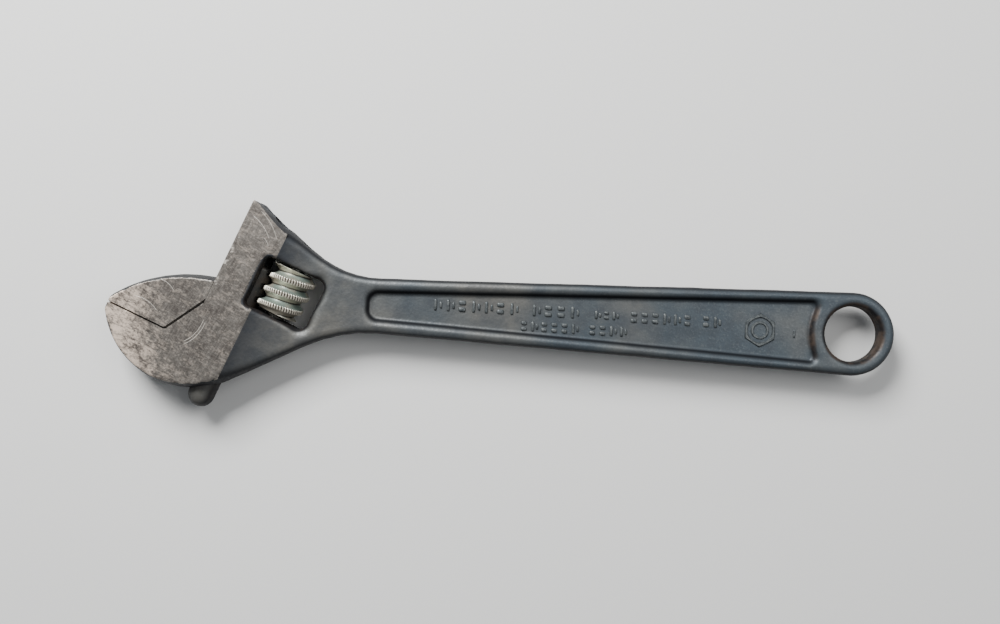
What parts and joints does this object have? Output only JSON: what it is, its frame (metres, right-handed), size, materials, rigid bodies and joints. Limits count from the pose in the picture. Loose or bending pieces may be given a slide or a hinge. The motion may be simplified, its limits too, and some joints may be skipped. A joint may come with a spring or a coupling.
{
  "type": "adjustable wrench",
  "caption": "Adjustable wrench with a blackened forged handle, ground angled jaws, a knurled worm that drives the sliding jaw, and a hang hole.",
  "frame": {"origin": "centre of the hang hole on the parting plane, half-way through the handle", "axes": "+X along the handle away from the head, so the head is at -X; +Y towards the head's top corner, the way the jaw opens; +Z out of the face, along the hang hole"},
  "size_m": [0.3022, 0.0802, 0.018],
  "materials": {
    "blackened_steel": "blackened forging with a satin grain and worn edges",
    "ground_steel": "ground and stained, with bright worn edges",
    "worm_steel": "turned, knurled on the crests",
    "pin_steel": "turned, slotted head",
    "spring_steel": "drawn wire"
  },
  "bodies": {
    "handle_body": {"body": "blackened_steel", "worm_pin": "pin_steel", "worm_spring": "spring_steel"},
    "jaw": {"movable_jaw": "ground_steel"},
    "worm": {"worm": "worm_steel"}
  },
  "joints": [
    {"name": "jaw_slide", "type": "slide", "parent": "handle_body", "child": "jaw", "axis": [0.3827, 0.9239, 0], "range_m": [0, 0.0335]},
    {"name": "worm_spin", "type": "hinge", "parent": "handle_body", "child": "worm", "pos_m": [-0.21795, 0.00325, 0], "axis": [0.3827, 0.9239, 0], "range_deg": [-2200, 0]}
  ],
  "couplings": [
    {"joint": "worm_spin", "follows": "jaw_slide", "rad_per_m": -1142.4}
  ]
}
